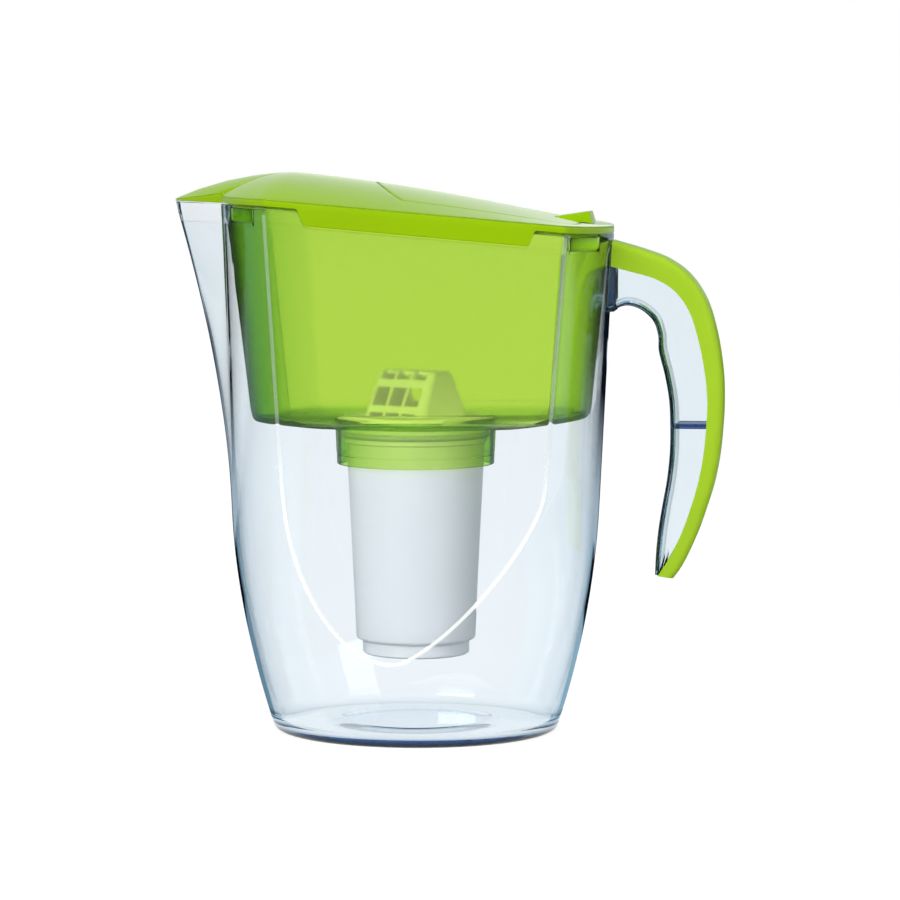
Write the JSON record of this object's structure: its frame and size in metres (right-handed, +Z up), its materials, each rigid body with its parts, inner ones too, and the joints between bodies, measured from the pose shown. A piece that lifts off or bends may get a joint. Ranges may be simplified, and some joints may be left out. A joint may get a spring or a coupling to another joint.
{
  "type": "water filter pitcher",
  "caption": "Clear oval water filter pitcher with a lime domed lid, flip hatch with thumb tab, tinted hopper, drop-in cartridge and an open hooked handle.",
  "frame": {"origin": "middle of the base on the table, on the axis of the filter cartridge", "axes": "+Z up, +X towards the handle, spout on -X, +Y across the body on the far side of the picture"},
  "size_m": [0.2642, 0.128, 0.2678],
  "materials": {
    "clear_plastic": "clear gloss, faint blue",
    "lime_plastic": "satin gloss",
    "tinted_plastic": "clear gloss, lime tint",
    "white_plastic": "satin",
    "hood_plastic": "satin",
    "seal_rubber": "matte silicone",
    "screen_cloth": "woven mesh",
    "carbon_grain": "granular",
    "resin_bead": "beads"
  },
  "bodies": {
    "jug_body": {"jug": "clear_plastic", "handle_cover": "lime_plastic"},
    "hopper_body": {"hopper": "tinted_plastic"},
    "lid_body": {"lid": "lime_plastic"},
    "hatch_body": {"flip_hatch": "lime_plastic"},
    "cartridge_body": {"cartridge_shell": "white_plastic", "inlet_hood": "hood_plastic", "cartridge_foot": "white_plastic", "cartridge_seal": "seal_rubber", "top_screen": "screen_cloth", "carbon_bed": "carbon_grain", "resin_bed": "resin_bead", "bottom_screen": "screen_cloth"}
  },
  "joints": [
    {"name": "hopper_lift", "type": "slide", "parent": "jug_body", "child": "hopper_body", "axis": [0, 0, 1], "range_m": [0, 0.22]},
    {"name": "lid_lift", "type": "slide", "parent": "hopper_body", "child": "lid_body", "axis": [0, 0, 1], "range_m": [0, 0.06]},
    {"name": "hatch_hinge", "type": "hinge", "parent": "lid_body", "child": "hatch_body", "pos_m": [0.006, 0, 0.24936], "axis": [0, -1, 0], "range_deg": [0, 95]},
    {"name": "cartridge_lift", "type": "slide", "parent": "hopper_body", "child": "cartridge_body", "axis": [0, 0, 1], "range_m": [0, 0.04]}
  ]
}
